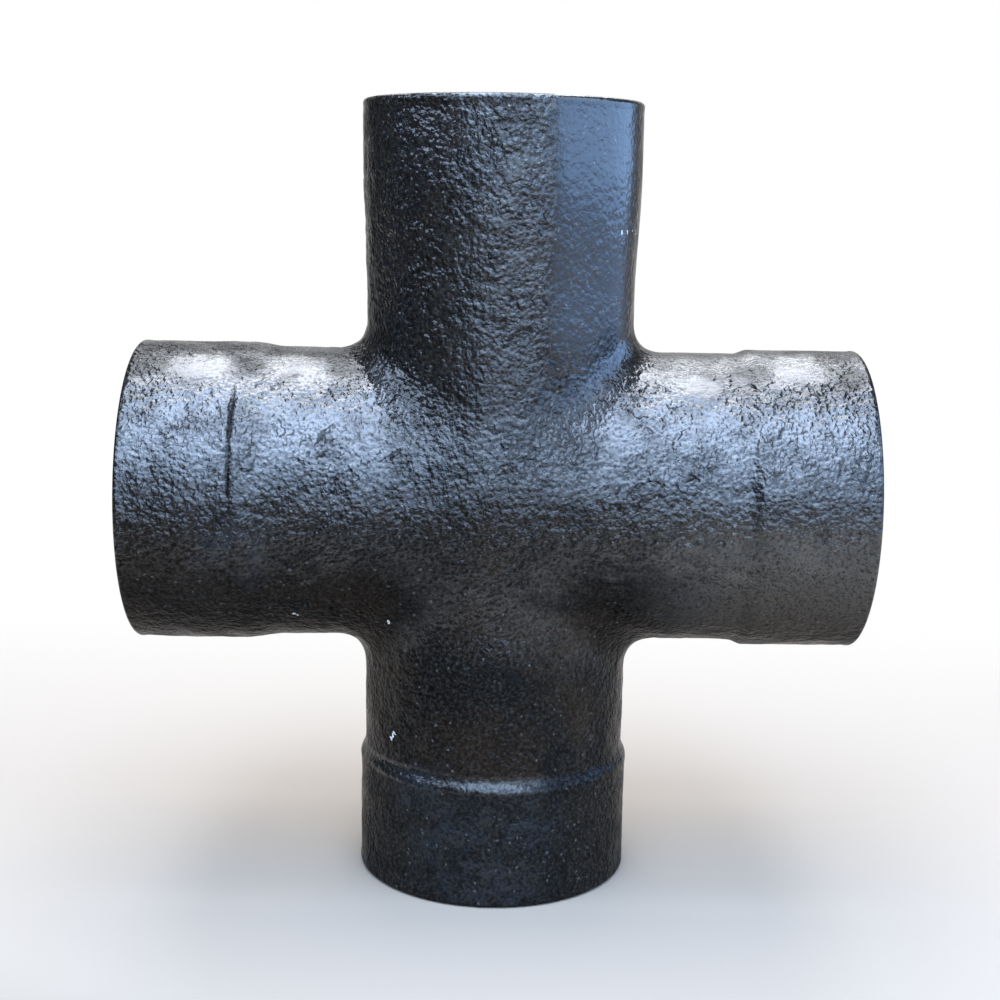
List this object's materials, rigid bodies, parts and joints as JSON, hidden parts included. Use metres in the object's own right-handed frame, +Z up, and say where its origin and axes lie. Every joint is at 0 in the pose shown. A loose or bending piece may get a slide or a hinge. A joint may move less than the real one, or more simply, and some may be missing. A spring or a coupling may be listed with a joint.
{
  "type": "pipe cross fitting",
  "caption": "One-piece cast-iron pipe cross with plain banded ends and open bores that meet in the middle, coated in black bitumen.",
  "frame": {"origin": "centre of the lower end face, on which the casting stands", "axes": "+Z up along the branch arms, +X along the run arms towards the right of the picture, +Y away from the viewer"},
  "size_m": [0.29, 0.1214, 0.314],
  "materials": {
    "bituminous_coat": "satin black bituminous paint over pebbly, slightly wrinkled sand-cast iron, with brownish shadows low down and a few pale chips"
  },
  "bodies": {
    "root": {"cross_casting": "bituminous_coat"}
  },
  "joints": []
}
